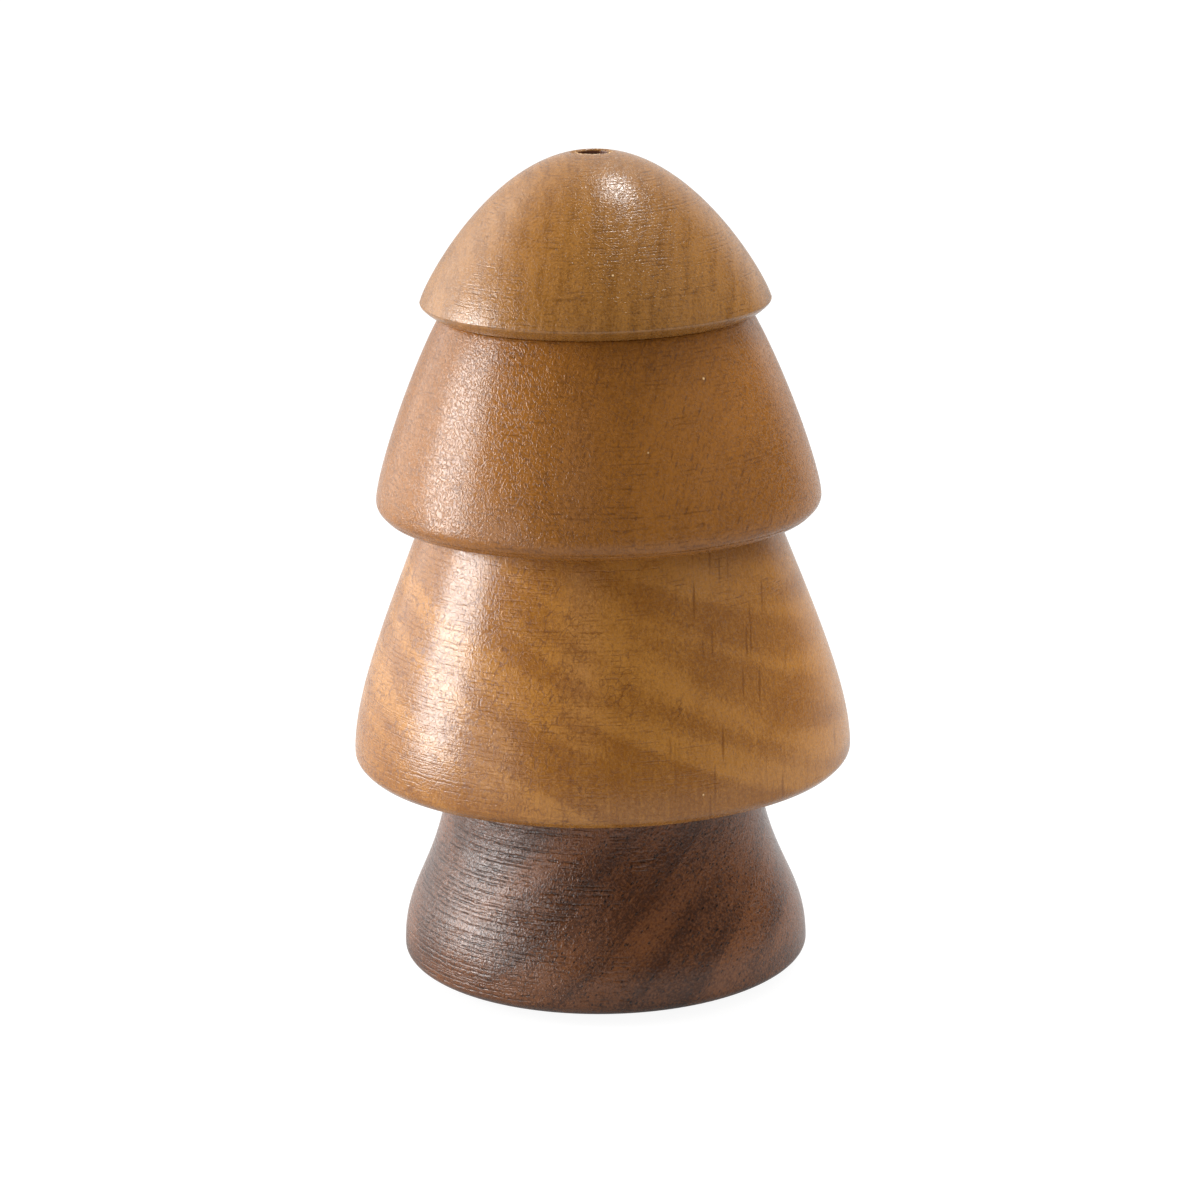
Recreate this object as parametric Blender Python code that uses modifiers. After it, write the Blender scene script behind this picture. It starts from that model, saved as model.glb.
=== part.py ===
"""Toothpick dispenser turned in wood as a small tree.

Three beech tiers are glued into one crown round a bored chamber. A walnut trunk holds the blind cup
that the picks stand in, and a beech collar let into it carries a soft ring that grips the crown.
The crown turns on the collar and lifts off for filling. Turned over and shaken, the dispenser lets
one pick at a time down the funnel and out of the hole in its top.

Units are metres and +Z is up. The origin is the middle of the foot pad's underside.
"""

import math

import bmesh
import bpy
from mathutils import Vector
from mathutils.geometry import interpolate_bezier

# Clearances and eased corners
SEAM_GAP = 0.0003  # between neighbouring pieces, glued or sliding
TENON_LEAD = 0.0006  # chamfer on the end of a tenon and at the mouth of a socket
SHOULDER_EASE = 0.00025  # off the arris round each neck

# Chamber, funnel and outlet
CHAMBER_RADIUS = 0.012
OUTLET_RADIUS = 0.0019
OUTLET_LENGTH = 0.0045  # straight hole between the funnel and the top
OUTLET_LIP = 0.00025

# Top tier
TOP_HEIGHT = 0.0185
TOP_RIM_RADIUS = 0.0205
TOP_RIM_RISE = 0.0016  # from the underside up to the widest line
TOP_RIM_UNDERCUT = 0.0025  # from the widest line in to where the underside is flat
TOP_SLOPE = math.radians(7.8)  # below level, where the outline leaves the outlet
TOP_SWEEP_SHARES = (0.42, 0.05)
TOP_TENON_WALL = 0.0027
TOP_TENON_LENGTH = 0.006

# Middle tier
MIDDLE_HEIGHT = 0.0239
MIDDLE_NECK_RADIUS = 0.0182
MIDDLE_RIM_RADIUS = 0.02625
MIDDLE_RIM_RISE = 0.0021
MIDDLE_RIM_ROLL = 0.0041  # from the widest line in to the flat underside
MIDDLE_SLOPE = math.radians(60.7)
MIDDLE_SWEEP_SHARES = (0.36, 0.106)
MIDDLE_TENON_WALL = 0.004
MIDDLE_TENON_LENGTH = 0.007

# Lower tier
LOWER_HEIGHT = 0.0302
LOWER_NECK_RADIUS = 0.0209
LOWER_RIM_RADIUS = 0.02965
LOWER_RIM_RISE = 0.0021
LOWER_RIM_ROLL = 0.0039
LOWER_SLOPE = math.radians(69.2)
LOWER_SWEEP_SHARES = (0.344, 0.232)

# Trunk
TRUNK_HEIGHT = 0.0245
TRUNK_NECK_RADIUS = 0.0184
TRUNK_RIM_RADIUS = 0.0243
TRUNK_RIM_RISE = 0.0024
TRUNK_RIM_ROLL = 0.0057
TRUNK_SLOPE = math.radians(83.6)
TRUNK_SWEEP_SHARES = (0.58, 0.34)
BASE_THICKNESS = 0.0106  # wood left between the cup and the pad's recess
CUP_FILLET = 0.0015

# Collar and grip ring
COLLAR_REACH = 0.012  # stands up out of the trunk
COLLAR_SEAT_DEPTH = 0.008  # let into the trunk
COLLAR_MOUTH = 0.0009  # flare that keeps picks from catching on the rim
GROOVE_WALL = 0.0014  # wood left behind the ring's groove
RING_SECTION = 0.0018
RING_PROUD = 0.0005

# Foot pad
PAD_RADIUS = 0.015
PAD_THICKNESS = 0.0015
PAD_PROUD = 0.0004
PAD_EASE = 0.0003

# Levels of the stack
TRUNK_TOP = PAD_PROUD + TRUNK_HEIGHT
CROWN_FOOT = TRUNK_TOP + SEAM_GAP
MIDDLE_FOOT = CROWN_FOOT + LOWER_HEIGHT + SEAM_GAP
TOP_FOOT = MIDDLE_FOOT + MIDDLE_HEIGHT + SEAM_GAP
COLLAR_FOOT = TRUNK_TOP - COLLAR_SEAT_DEPTH
RING_LEVEL = TRUNK_TOP + COLLAR_REACH / 2

# Radii that follow from the fits
TOP_TENON_RADIUS = CHAMBER_RADIUS + TOP_TENON_WALL
MIDDLE_TENON_RADIUS = CHAMBER_RADIUS + MIDDLE_TENON_WALL
GROOVE_RADIUS = CHAMBER_RADIUS + GROOVE_WALL
RING_OUTER_RADIUS = GROOVE_RADIUS + SEAM_GAP + RING_SECTION
COLLAR_RADIUS = RING_OUTER_RADIUS - RING_PROUD
PLUG_SOCKET_RADIUS = RING_OUTER_RADIUS + SEAM_GAP

# Fineness of the mesh
TURN_STEPS = 48
SWEEP_STEPS = 12
RIM_STEPS = 5
FILLET_STEPS = 3
RING_STEPS = 12
MERGE_DISTANCE = 0.00001

QUARTER_TURN = math.pi / 2


def clear_scene():
    """Remove whatever the open file shows."""
    for leftover in list(bpy.data.objects):
        bpy.data.objects.remove(leftover, do_unlink=True)


def finish(name, colour, roughness):
    """A Principled material for one timber, for the cork or for the silicone."""
    material = bpy.data.materials.new(name)
    material.use_nodes = True
    surface = material.node_tree.nodes["Principled BSDF"]
    surface.inputs["Base Color"].default_value = (*colour, 1)
    surface.inputs["Roughness"].default_value = roughness
    surface.inputs["Metallic"].default_value = 0
    material.diffuse_color = (*colour, 1)
    return material


def place(piece, collection, material, level, parent=None):
    """Stand a piece on its level, measured from its parent's."""
    collection.objects.link(piece)
    piece.data.materials.append(material)
    piece.location = (0, 0, level)
    piece.parent = parent
    return piece


def joint_empty(name, collection, level, parent=None):
    """An empty on the turning axis, which the pieces that move with it hang from."""
    empty = bpy.data.objects.new(name, None)
    empty.empty_display_type = 'SINGLE_ARROW'
    empty.empty_display_size = CHAMBER_RADIUS
    collection.objects.link(empty)
    empty.location = (0, 0, level)
    empty.parent = parent
    return empty


def sweep(start, end, slope, shares):
    """One smooth curve that leaves start at the slope below level and comes down upright on end."""
    reach = math.dist(start, end)
    lead = (start[0] + shares[0] * reach * math.cos(slope), start[1] - shares[0] * reach * math.sin(slope))
    tail = (end[0], end[1] + shares[1] * reach)
    handles = [Vector(point) for point in (start, lead, tail, end)]
    return [tuple(point) for point in interpolate_bezier(*handles, SWEEP_STEPS + 1)]


def rolled_rim(radius, rise, roll):
    """A quarter ellipse from below the widest line in to the flat underside at height zero."""
    turns = [QUARTER_TURN * step / RIM_STEPS for step in range(1, RIM_STEPS + 1)]
    return [(radius - roll * (1 - math.cos(turn)), rise * (1 - math.sin(turn))) for turn in turns]


def undercut_rim(radius, rise, undercut):
    """A hollow that leaves the arris of the widest line and flattens in to the underside at height zero."""
    shares = [step / RIM_STEPS for step in range(1, RIM_STEPS + 1)]
    return [(radius - undercut * share, rise * (1 - share) ** 2) for share in shares]


def tier_outline(height, neck_radius, rim_radius, rim_rise, rim_roll, slope, shares):
    """The outer side of one tier, from its neck down round its rolled rim to its underside."""
    side = sweep((neck_radius, height), (rim_radius, rim_rise), slope, shares)
    return side + rolled_rim(rim_radius, rim_rise, rim_roll)


def shoulder(neck_radius, top):
    """Where the flat top face ends, just inside the eased arris that the sweep starts from."""
    return [(neck_radius - SHOULDER_EASE, top)]


def tenon(radius, length):
    """The outside of a tenon below height zero, chamfered at its end, down to the chamber."""
    end = [(radius, 0), (radius, TENON_LEAD - length), (radius - TENON_LEAD, -length)]
    return end + [(CHAMBER_RADIUS, -length)]


def socket(tenon_radius, tenon_length, top):
    """The hollow in a piece's upper end that takes a tenon, from the chamber up to the top face."""
    radius = tenon_radius + SEAM_GAP
    floor = top - tenon_length - SEAM_GAP
    return [(CHAMBER_RADIUS, floor), (radius, floor), (radius, top)]


def turned(name, profile, closed=True):
    """A piece turned about Z from its profile at +X, which runs down the outer side."""
    shape = bmesh.new()
    corners = [shape.verts.new((radius, 0, height)) for radius, height in profile]
    for upper, lower in zip(corners, corners[1:]):
        shape.edges.new((upper, lower))
    if closed:
        shape.edges.new((corners[-1], corners[0]))
    mesh = bpy.data.meshes.new(name)
    shape.to_mesh(mesh)
    shape.free()
    piece = bpy.data.objects.new(name, mesh)
    turning = piece.modifiers.new("Turning", 'SCREW')
    turning.axis = 'Z'
    turning.angle = 4 * QUARTER_TURN
    turning.steps = TURN_STEPS
    turning.render_steps = TURN_STEPS
    turning.use_merge_vertices = True
    turning.merge_threshold = MERGE_DISTANCE
    turning.use_smooth_shade = True
    shading = piece.modifiers.new("Shading", 'WEIGHTED_NORMAL')
    shading.keep_sharp = True
    return piece


def make_top_tier():
    """The dome: outlet, funnel down to the chamber, and the tenon that the middle tier takes."""
    crest = OUTLET_RADIUS + OUTLET_LIP
    side = sweep((crest, TOP_HEIGHT), (TOP_RIM_RADIUS, TOP_RIM_RISE), TOP_SLOPE, TOP_SWEEP_SHARES)
    rim = undercut_rim(TOP_RIM_RADIUS, TOP_RIM_RISE, TOP_RIM_UNDERCUT)
    funnel = [(CHAMBER_RADIUS, 0), (OUTLET_RADIUS, TOP_HEIGHT - OUTLET_LENGTH)]
    lip = [(OUTLET_RADIUS, TOP_HEIGHT - OUTLET_LIP)]
    return turned("top_tier", side + rim + tenon(TOP_TENON_RADIUS, TOP_TENON_LENGTH) + funnel + lip)


def make_middle_tier():
    """The ring between dome and lower tier, with a socket above and a tenon below."""
    outline = shoulder(MIDDLE_NECK_RADIUS, MIDDLE_HEIGHT) + tier_outline(
        MIDDLE_HEIGHT - SHOULDER_EASE, MIDDLE_NECK_RADIUS, MIDDLE_RIM_RADIUS,
        MIDDLE_RIM_RISE, MIDDLE_RIM_ROLL, MIDDLE_SLOPE, MIDDLE_SWEEP_SHARES
    )
    hollow = socket(TOP_TENON_RADIUS, TOP_TENON_LENGTH, MIDDLE_HEIGHT)
    return turned("middle_tier", outline + tenon(MIDDLE_TENON_RADIUS, MIDDLE_TENON_LENGTH) + hollow)


def make_lower_tier():
    """The widest tier, with the socket in its underside that slides over the collar."""
    outline = shoulder(LOWER_NECK_RADIUS, LOWER_HEIGHT) + tier_outline(
        LOWER_HEIGHT - SHOULDER_EASE, LOWER_NECK_RADIUS, LOWER_RIM_RADIUS,
        LOWER_RIM_RISE, LOWER_RIM_ROLL, LOWER_SLOPE, LOWER_SWEEP_SHARES
    )
    depth = COLLAR_REACH + SEAM_GAP
    mouth = [(PLUG_SOCKET_RADIUS + TENON_LEAD, 0), (PLUG_SOCKET_RADIUS, TENON_LEAD)]
    plug_socket = mouth + [(PLUG_SOCKET_RADIUS, depth), (CHAMBER_RADIUS, depth)]
    hollow = socket(MIDDLE_TENON_RADIUS, MIDDLE_TENON_LENGTH, LOWER_HEIGHT)
    return turned("lower_tier", outline + plug_socket + hollow)


def make_trunk_base():
    """The flared trunk: cup for the picks, seat for the collar, recess for the pad."""
    recess_depth = PAD_THICKNESS - PAD_PROUD + SEAM_GAP
    cup_floor = recess_depth + BASE_THICKNESS
    seat_radius = COLLAR_RADIUS + SEAM_GAP
    seat_floor = TRUNK_HEIGHT - COLLAR_SEAT_DEPTH - SEAM_GAP
    turns = [QUARTER_TURN * step / FILLET_STEPS for step in range(FILLET_STEPS + 1)]
    fillet = [
        (CHAMBER_RADIUS - CUP_FILLET * (1 - math.sin(turn)), cup_floor + CUP_FILLET * (1 - math.cos(turn)))
        for turn in turns
    ]
    cup = [(0, cup_floor)] + fillet + [(CHAMBER_RADIUS, seat_floor)]
    seat = [(seat_radius, seat_floor), (seat_radius, TRUNK_HEIGHT)]
    outline = shoulder(TRUNK_NECK_RADIUS, TRUNK_HEIGHT) + tier_outline(
        TRUNK_HEIGHT - SHOULDER_EASE, TRUNK_NECK_RADIUS, TRUNK_RIM_RADIUS,
        TRUNK_RIM_RISE, TRUNK_RIM_ROLL, TRUNK_SLOPE, TRUNK_SWEEP_SHARES
    )
    recess_radius = PAD_RADIUS + SEAM_GAP
    recess = [(recess_radius, 0), (recess_radius, recess_depth), (0, recess_depth)]
    return turned("trunk_base", cup + seat + outline + recess, closed=False)


def make_plug_collar():
    """The collar that plugs the crown: chamfered, grooved for the ring and flared inside its mouth."""
    height = COLLAR_SEAT_DEPTH + COLLAR_REACH
    groove_middle = COLLAR_SEAT_DEPTH + COLLAR_REACH / 2
    groove_half = RING_SECTION / 2 + SEAM_GAP
    outside = [
        (COLLAR_RADIUS - TENON_LEAD, height),
        (COLLAR_RADIUS, height - TENON_LEAD),
        (COLLAR_RADIUS, groove_middle + groove_half),
        (GROOVE_RADIUS, groove_middle + groove_half),
        (GROOVE_RADIUS, groove_middle - groove_half),
        (COLLAR_RADIUS, groove_middle - groove_half),
        (COLLAR_RADIUS, TENON_LEAD),
        (COLLAR_RADIUS - TENON_LEAD, 0),
    ]
    inside = [
        (CHAMBER_RADIUS, 0),
        (CHAMBER_RADIUS, height - COLLAR_MOUTH),
        (CHAMBER_RADIUS + COLLAR_MOUTH, height),
    ]
    return turned("plug_collar", outside + inside)


def make_grip_ring():
    """The soft ring in the collar's groove."""
    bpy.ops.mesh.primitive_torus_add(
        major_radius=RING_OUTER_RADIUS - RING_SECTION / 2,
        minor_radius=RING_SECTION / 2,
        major_segments=TURN_STEPS,
        minor_segments=RING_STEPS,
    )
    ring = bpy.context.object
    ring.name = "grip_ring"
    ring.data.shade_smooth()
    for home in list(ring.users_collection):
        home.objects.unlink(ring)
    return ring


def make_foot_pad():
    """The thin disc under the trunk, with its lower arris eased."""
    shape = bmesh.new()
    bmesh.ops.create_cone(
        shape,
        cap_ends=True,
        segments=TURN_STEPS,
        radius1=PAD_RADIUS,
        radius2=PAD_RADIUS,
        depth=PAD_THICKNESS,
    )
    bmesh.ops.translate(shape, verts=shape.verts, vec=(0, 0, PAD_THICKNESS / 2))
    mesh = bpy.data.meshes.new("foot_pad")
    shape.to_mesh(mesh)
    shape.free()
    pad = bpy.data.objects.new("foot_pad", mesh)
    easing = pad.modifiers.new("Eased arris", 'BEVEL')
    easing.width = PAD_EASE
    easing.segments = 1
    easing.limit_method = 'ANGLE'
    return pad


def main():
    clear_scene()
    dispenser = bpy.data.collections.new("toothpick_tree")
    bpy.context.scene.collection.children.link(dispenser)

    golden_beech = finish("golden_beech", (0.42, 0.18, 0.045), 0.32)
    brown_beech = finish("brown_beech", (0.31, 0.115, 0.027), 0.32)
    amber_beech = finish("amber_beech", (0.385, 0.16, 0.038), 0.32)
    bare_beech = finish("bare_beech", (0.56, 0.36, 0.19), 0.6)
    walnut = finish("walnut", (0.11, 0.05, 0.028), 0.34)
    cork = finish("cork", (0.42, 0.25, 0.12), 0.85)
    silicone = finish("silicone", (0.62, 0.60, 0.56), 0.45)

    place(make_foot_pad(), dispenser, cork, 0)
    place(make_trunk_base(), dispenser, walnut, PAD_PROUD)
    place(make_plug_collar(), dispenser, bare_beech, COLLAR_FOOT)

    crown_turn = joint_empty("crown_turn", dispenser, RING_LEVEL)
    place(make_grip_ring(), dispenser, silicone, 0, crown_turn)

    crown_lift = joint_empty("crown_lift", dispenser, CROWN_FOOT - RING_LEVEL, crown_turn)
    place(make_lower_tier(), dispenser, amber_beech, 0, crown_lift)
    place(make_middle_tier(), dispenser, brown_beech, MIDDLE_FOOT - CROWN_FOOT, crown_lift)
    place(make_top_tier(), dispenser, golden_beech, TOP_FOOT - CROWN_FOOT, crown_lift)


main()
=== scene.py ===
"""Looks of a turned wooden toothpick dispenser in the shape of a small tree.

Three beech tiers, a walnut trunk, the plug collar with its grip ring and the cork foot pad are turned again
here with fine meshes and given solid timber materials. Units are metres, +Z is up, and the origin is the
middle of the foot pad's underside.
"""

import math
from collections import namedtuple

import bmesh
import bpy
from bpy.props import FloatProperty, FloatVectorProperty, PointerProperty
from mathutils import Matrix, Vector, noise
from mathutils.geometry import interpolate_bezier


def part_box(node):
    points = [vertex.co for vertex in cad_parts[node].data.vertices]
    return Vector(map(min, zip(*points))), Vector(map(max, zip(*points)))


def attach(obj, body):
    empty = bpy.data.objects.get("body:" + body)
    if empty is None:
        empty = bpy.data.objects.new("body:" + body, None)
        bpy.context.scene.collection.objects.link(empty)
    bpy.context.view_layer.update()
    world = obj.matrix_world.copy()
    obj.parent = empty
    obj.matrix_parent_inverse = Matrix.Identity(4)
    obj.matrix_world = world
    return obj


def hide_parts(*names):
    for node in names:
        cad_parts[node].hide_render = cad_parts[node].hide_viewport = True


bl_info = {
    "name": "Toothpick Tree",
    "version": (1, 0, 0),
    "blender": (4, 5, 0),
    "location": "3D View > Sidebar > Toothpick Tree",
    "description": "Turns the beech and walnut pieces of a toothpick dispenser and lights them",
    "category": "Object",
}

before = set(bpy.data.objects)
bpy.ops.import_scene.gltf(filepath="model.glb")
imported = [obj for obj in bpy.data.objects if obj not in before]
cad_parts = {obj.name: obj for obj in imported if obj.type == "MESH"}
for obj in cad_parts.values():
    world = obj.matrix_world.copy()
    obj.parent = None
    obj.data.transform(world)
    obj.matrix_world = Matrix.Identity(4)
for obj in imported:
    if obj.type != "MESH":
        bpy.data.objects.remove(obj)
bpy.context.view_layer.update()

# Clearance, lead and bore that the frame was built with
SEAM_GAP = 0.0003
TENON_LEAD = 0.0006
CHAMBER_RADIUS = 0.012

# The glue lines between the tiers and their eased shoulders, finer here than in the frame
GLUE_LINE = 0.00005
SHOULDER_EASE = 0.00005

# Levels and radii read from the frame
TOP_LOW, TOP_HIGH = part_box("top_tier")
MIDDLE_LOW, MIDDLE_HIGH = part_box("middle_tier")
LOWER_LOW, LOWER_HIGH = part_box("lower_tier")
TRUNK_LOW, TRUNK_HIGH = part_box("trunk_base")
COLLAR_LOW, COLLAR_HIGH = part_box("plug_collar")
RING_LOW, RING_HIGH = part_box("grip_ring")
PAD_LOW, PAD_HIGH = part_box("foot_pad")
TOP_FOOT = MIDDLE_HIGH.z + GLUE_LINE
MIDDLE_FOOT = LOWER_HIGH.z + GLUE_LINE
COLLAR_REACH = COLLAR_HIGH.z - TRUNK_HIGH.z
RING_SECTION = RING_HIGH.z - RING_LOW.z
RING_LEVEL = (RING_HIGH.z + RING_LOW.z) / 2
PLUG_SOCKET_RADIUS = RING_HIGH.x + SEAM_GAP

# Fineness of the meshes
SPIN_STEPS = 256
SWEEP_STEPS = 56
ROLL_STEPS = 72
UNDERCUT_STEPS = 10
EASE_STEPS = 4
SECTION_STEPS = 24
MERGE_DISTANCE = 0.000002
ARRIS = 0.00012
ARRIS_SEGMENTS = 2
SHARP_ANGLE = math.radians(28)

# Where the tool groove and the bead sit, as turns past a rim's widest line
GROOVE_TURN = math.radians(29)
GROOVE_SPREAD = math.radians(3.5)
BEAD_TURN = math.radians(42)
BEAD_SPREAD = math.radians(8)

# Noise that pulls the outlet's torn lip about, per metre, and its second reading's place
FRAY_SCALE = 2600.0
FRAY_SHIFT = Vector((0, 0, 7))

FULL_TURN = 2 * math.pi
MILLIMETRE = 0.001

OILED = "oiled"
BARE = "bare"
TORN = "torn"
DRILLED = "drilled"
SURFACES = {OILED: (0.0, 0.0, 0.0), BARE: (1.0, 0.0, 0.0), TORN: (0.0, 1.0, 0.0), DRILLED: (0.0, 0.0, 1.0)}


def length(name, description, default):
    """A property that holds a length."""
    return FloatProperty(
        name=name, description=description, default=default, min=0.0, soft_max=0.1, precision=5,
        subtype='DISTANCE', unit='LENGTH'
    )


def angle(name, description, default, low=-math.pi, high=math.pi):
    """A property that holds an angle."""
    return FloatProperty(
        name=name, description=description, default=default, min=low, max=high, subtype='ANGLE',
        unit='ROTATION'
    )


def brightness(name, description, default):
    """A property that holds how bright a lamp or a part of the room is."""
    return FloatProperty(name=name, description=description, default=default, min=0.0)


def share(name, description, default):
    """A property that holds a part of something whole."""
    return FloatProperty(
        name=name, description=description, default=default, min=0.0, max=1.0, subtype='FACTOR'
    )


def colour(name, description, default):
    """A property that holds a linear colour."""
    return FloatVectorProperty(
        name=name, description=description, default=default, min=0.0, max=1.0, size=3, subtype='COLOR'
    )


def outline_fields(foot, top, neck_radius, rim_radius, rise, roll, groove, bead, slope, lead, tail):
    """The properties that shape one turned outside."""
    return {
        "foot": length("Foot", "Level of the underside", foot),
        "top": length("Top", "Level of the upper end", top),
        "neck_radius": length("Neck radius", "Radius where the sweep begins", neck_radius),
        "rim_radius": length("Rim radius", "Radius of the widest line", rim_radius),
        "rim_rise": length("Rim rise", "From the underside up to the widest line", rise),
        "rim_roll": length("Rim roll", "From the widest line in to the flat underside", roll),
        "rim_groove": length("Rim groove", "Depth of the tool line on the rim", groove),
        "rim_bead": length("Rim bead", "Height of the fine bead below the tool line", bead),
        "slope": angle("Slope", "Below level, where the sweep leaves the neck", slope, 0.0, math.pi / 2),
        "lead_share": share("Lead", "Pull of the upper handle, as a share of the sweep's reach", lead),
        "tail_share": share("Tail", "Pull of the lower handle, as a share of the sweep's reach", tail),
    }


def timber_fields(pale, dark, pore, ring_spacing, gloss, lustre=0.5):
    """The properties that colour one timber."""
    return {
        "pale": colour("Pale wood", "Colour of the early wood under its oil", pale),
        "dark": colour("Dark wood", "Colour of the late wood and of the darker zones", dark),
        "pore": colour("Pores", "Colour inside the pores and ray flecks", pore),
        "ring_spacing": length("Ring spacing", "Width of one year's growth", ring_spacing),
        "gloss": share("Gloss", "How sharply the oiled surface reflects", gloss),
        "lustre": share("Lustre", "How strongly the oiled surface reflects", lustre),
    }


class TopTierSizes(bpy.types.PropertyGroup):
    """Outside of the dome."""
    __annotations__ = outline_fields(
        TOP_FOOT, TOP_HIGH.z, 0.00215, TOP_HIGH.x, 0.0014, 0.0025, 0.0, 0.0, math.radians(7.8), 0.42, 0.05
    )


class MiddleTierSizes(bpy.types.PropertyGroup):
    """Outside of the middle tier."""
    __annotations__ = outline_fields(
        MIDDLE_FOOT, MIDDLE_HIGH.z, 0.0182, MIDDLE_HIGH.x, 0.00232, 0.0041, 0.00008, 0.00006,
        math.radians(60.7), 0.36, 0.106
    )


class LowerTierSizes(bpy.types.PropertyGroup):
    """Outside of the lower tier."""
    __annotations__ = outline_fields(
        LOWER_LOW.z, LOWER_HIGH.z, 0.0209, LOWER_HIGH.x, 0.0021, 0.0039, 0.0, 0.00005,
        math.radians(69.2), 0.344, 0.232
    )


class TrunkSizes(bpy.types.PropertyGroup):
    """Outside of the trunk."""
    __annotations__ = outline_fields(
        TRUNK_LOW.z, TRUNK_HIGH.z, 0.0184, TRUNK_HIGH.x, 0.0024, 0.0057, 0.0, 0.0,
        math.radians(83.6), 0.58, 0.34
    )


class FitSizes(bpy.types.PropertyGroup):
    """Bores, tenons and the pieces hidden inside."""
    outlet_radius: length("Outlet radius", "Radius of the hole that one pick leaves by", 0.0019)
    outlet_length: length("Outlet length", "Straight hole above the funnel", 0.0045)
    outlet_lip: length("Outlet lip", "Chamfer round the outlet", 0.00016)
    lip_fray: length("Lip fray", "How far the torn fibres of the lip stand out", 0.0001)
    top_tenon_radius: length("Top tenon radius", "Radius of the dome's tenon", 0.0147)
    middle_tenon_radius: length("Middle tenon radius", "Radius of the middle tier's tenon", 0.016)
    cup_floor: length("Cup floor", "Level that the picks stand on", 0.0124)
    cup_fillet: length("Cup fillet", "Radius in the corner of the cup", 0.0015)
    groove_radius: length("Groove radius", "Radius of the collar behind the grip ring", 0.0134)
    collar_mouth: length("Collar mouth", "Flare inside the collar's upper end", 0.0009)
    mould_line: length("Mould line", "Height of the fine seam round the grip ring", 0.00004)
    rim_ease: length("Rim ease", "Rounding of the dome's widest line", 0.00022)
    pad_ease: length("Pad ease", "Chamfer round the foot pad", 0.0003)


class GoldenBeech(bpy.types.PropertyGroup):
    """Oiled beech of the dome."""
    __annotations__ = timber_fields(
        (0.335, 0.147, 0.031), (0.185, 0.071, 0.0097), (0.11, 0.039, 0.006), 0.0026, 0.67, 0.58
    )


class BrownBeech(bpy.types.PropertyGroup):
    """Oiled beech of the middle tier."""
    __annotations__ = timber_fields(
        (0.325, 0.125, 0.0205), (0.18, 0.062, 0.0077), (0.1, 0.031, 0.004), 0.0034, 0.68, 0.45
    )


class AmberBeech(bpy.types.PropertyGroup):
    """Oiled beech of the lower tier."""
    __annotations__ = timber_fields(
        (0.455, 0.197, 0.037), (0.255, 0.092, 0.012), (0.17, 0.056, 0.007), 0.0062, 0.67, 0.56
    )


class Walnut(bpy.types.PropertyGroup):
    """Oiled walnut of the trunk."""
    __annotations__ = timber_fields(
        (0.2, 0.074, 0.027), (0.06, 0.022, 0.01), (0.012, 0.006, 0.004), 0.0058, 0.73, 0.56
    )


class BareBeech(bpy.types.PropertyGroup):
    """Unfinished beech of the collar."""
    __annotations__ = timber_fields(
        (0.62, 0.42, 0.25), (0.52, 0.32, 0.17), (0.3, 0.16, 0.08), 0.0024, 0.3
    )


class SoftFinishes(bpy.types.PropertyGroup):
    """Colours of the ring, of the pad, of wood that was never oiled and of the painted shade in the outlet's
    bore.
    """
    silicone: colour("Silicone", "Colour of the grip ring", (0.66, 0.64, 0.6))
    cork: colour("Cork", "Mean colour of the pad's granules", (0.44, 0.26, 0.13))
    cork_gap: colour("Cork joints", "Colour between the pad's granules", (0.12, 0.055, 0.025))
    bare_beech: colour("Bare beech", "Colour of the beech bores and tenons", (0.6, 0.4, 0.23))
    bare_walnut: colour("Bare walnut", "Colour inside the trunk's cup", (0.19, 0.115, 0.075))
    torn_fibre: colour("Torn fibre", "Colour of the lip's torn fibres and of raised nibs", (0.78, 0.52, 0.26))
    # Painted shade: the dark colour of the outlet's bore stands for the shade inside the narrow hole.
    drilled_wood: colour("Drilled wood", "Colour of the outlet's shadowed wall", (0.13, 0.035, 0.01))


class StudioSettings(bpy.types.PropertyGroup):
    """Where the camera stands and how the lamps burn."""
    elevation: angle("Elevation", "Camera above level", math.radians(14.985))
    distance: length("Distance", "From the camera to the point it looks at", 0.4545)
    look_height: length("Look height", "Level of the point that the camera looks at", 0.04483)
    tilt: angle("Tilt", "How far the camera is turned about its line of sight", math.radians(-0.928))
    focal_length: FloatProperty(
        name="Focal length", description="Focal length in millimetres on a 36 mm sensor", default=114.69,
        min=1.0
    )
    side_level: brightness("Side light", "Brightness of the wide soft box on the left", 11.8)
    sill_level: brightness("Sill light", "Brightness of the low soft box on the left", 1.9)
    wing_level: brightness("Wing light", "Brightness of the soft box further back on the left", 1.2)
    top_level: brightness("Top light", "Brightness of the small soft box overhead", 21.0)
    front_level: brightness("Front light", "Brightness of the weak panel beside the camera", 0.45)
    backdrop_level: brightness("Backdrop", "Brightness of the white room behind the object", 0.85)
    room_level: brightness("Room", "Brightness of the room on the camera's side", 0.25)
    far_level: brightness("Far side", "How brightly the room behind and on the right lights the wood", 2.15)
    room_sheen: share("Room sheen", "How much of the room's near side the wood mirrors", 0.1)


class TreeSettings(bpy.types.PropertyGroup):
    """Everything that shapes and colours the dispenser."""
    top_tier: PointerProperty(type=TopTierSizes)
    middle_tier: PointerProperty(type=MiddleTierSizes)
    lower_tier: PointerProperty(type=LowerTierSizes)
    trunk: PointerProperty(type=TrunkSizes)
    fits: PointerProperty(type=FitSizes)
    golden_beech: PointerProperty(type=GoldenBeech)
    brown_beech: PointerProperty(type=BrownBeech)
    amber_beech: PointerProperty(type=AmberBeech)
    walnut: PointerProperty(type=Walnut)
    bare_beech: PointerProperty(type=BareBeech)
    soft: PointerProperty(type=SoftFinishes)
    studio: PointerProperty(type=StudioSettings)


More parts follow.
